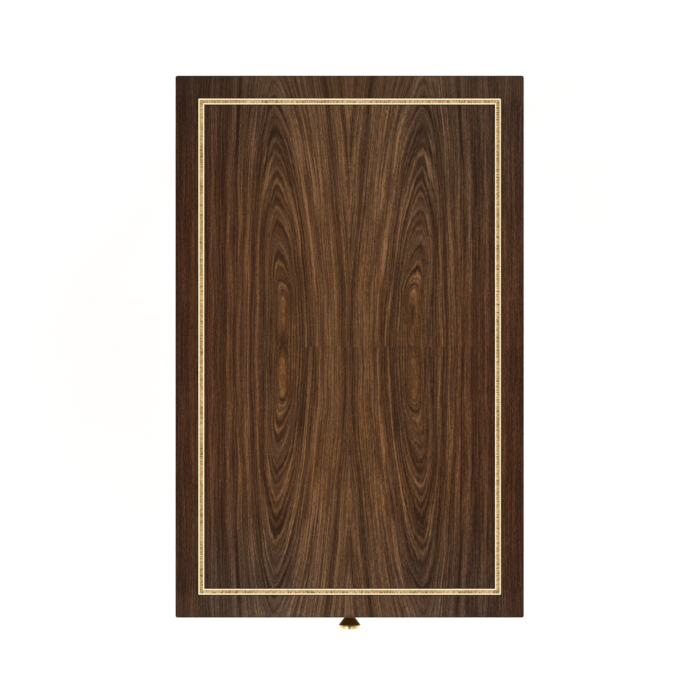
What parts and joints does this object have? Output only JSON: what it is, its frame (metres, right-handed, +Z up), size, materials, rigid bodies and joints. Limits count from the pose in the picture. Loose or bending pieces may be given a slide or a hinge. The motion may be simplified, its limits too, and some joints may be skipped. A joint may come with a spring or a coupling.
{
  "type": "side table with drawer",
  "caption": "Rectangular side table with a matched veneer top and inlaid banding, tapered legs in brass sabots, and a drawer with a turned brass knob in the narrow end.",
  "frame": {"origin": "on the floor, in the middle of the table's outline seen from above, knob included", "axes": "+Z up, +Y from the drawer end to the back end, +X to the right of someone facing the drawer"},
  "size_m": [0.4572, 0.7374, 0.635],
  "materials": {
    "rosewood_veneer": "satin lacquer over dark crown-cut rosewood veneer",
    "rosewood": "satin lacquer over dark straight-grained rosewood",
    "holly": "cream stringing under satin lacquer",
    "satinwood": "cross-grained tan banding under satin lacquer",
    "maple": "clear matt oil",
    "beech": "bare planed wood",
    "core_board": "sanded board, stained on the underside",
    "brass": "polished",
    "steel": "plain zinc"
  },
  "bodies": {
    "frame": {"top_core": "core_board", "lipping_front": "rosewood", "lipping_back": "rosewood", "lipping_left": "rosewood", "lipping_right": "rosewood", "field_veneer_front_left": "rosewood_veneer", "field_veneer_front_right": "rosewood_veneer", "field_veneer_back_left": "rosewood_veneer", "field_veneer_back_right": "rosewood_veneer", "border_veneer_front_left": "rosewood_veneer", "border_veneer_front_right": "rosewood_veneer", "border_veneer_back_left": "rosewood_veneer", "border_veneer_back_right": "rosewood_veneer", "outer_string_front": "holly", "outer_string_back": "holly", "outer_string_left": "holly", "outer_string_right": "holly", "centre_band_front": "satinwood", "centre_band_back": "satinwood", "centre_band_left": "satinwood", "centre_band_right": "satinwood", "inner_string_front": "holly", "inner_string_back": "holly", "inner_string_left": "holly", "inner_string_right": "holly", "leg_front_left": "rosewood", "leg_front_right": "rosewood", "leg_back_left": "rosewood", "leg_back_right": "rosewood", "sabot_front_left": "brass", "sabot_front_right": "brass", "sabot_back_left": "brass", "sabot_back_right": "brass", "apron_left": "rosewood", "apron_right": "rosewood", "apron_back": "rosewood", "front_top_rail": "rosewood", "front_bottom_rail": "rosewood", "runner_left": "beech", "runner_right": "beech", "kicker_left": "beech", "kicker_right": "beech", "drawer_stop_left": "beech", "drawer_stop_right": "beech", "top_screw_front_left": "steel", "top_screw_front_right": "steel", "top_screw_back_left": "steel", "top_screw_back_right": "steel"},
    "drawer": {"drawer_front": "rosewood", "drawer_string": "holly", "drawer_side_left": "maple", "drawer_side_right": "maple", "drawer_back": "maple", "drawer_bottom": "maple", "knob": "brass", "knob_screw": "steel", "turn_button_screw": "steel"},
    "button": {"turn_button": "beech"}
  },
  "joints": [
    {"name": "drawer_slide", "type": "slide", "parent": "frame", "child": "drawer", "axis": [0, -1, 0], "range_m": [0, 0.5]},
    {"name": "turn_button_pivot", "type": "hinge", "parent": "drawer", "child": "button", "pos_m": [0, 0.2045, 0.5885], "axis": [0, 1, 0], "range_deg": [0, 90]}
  ]
}
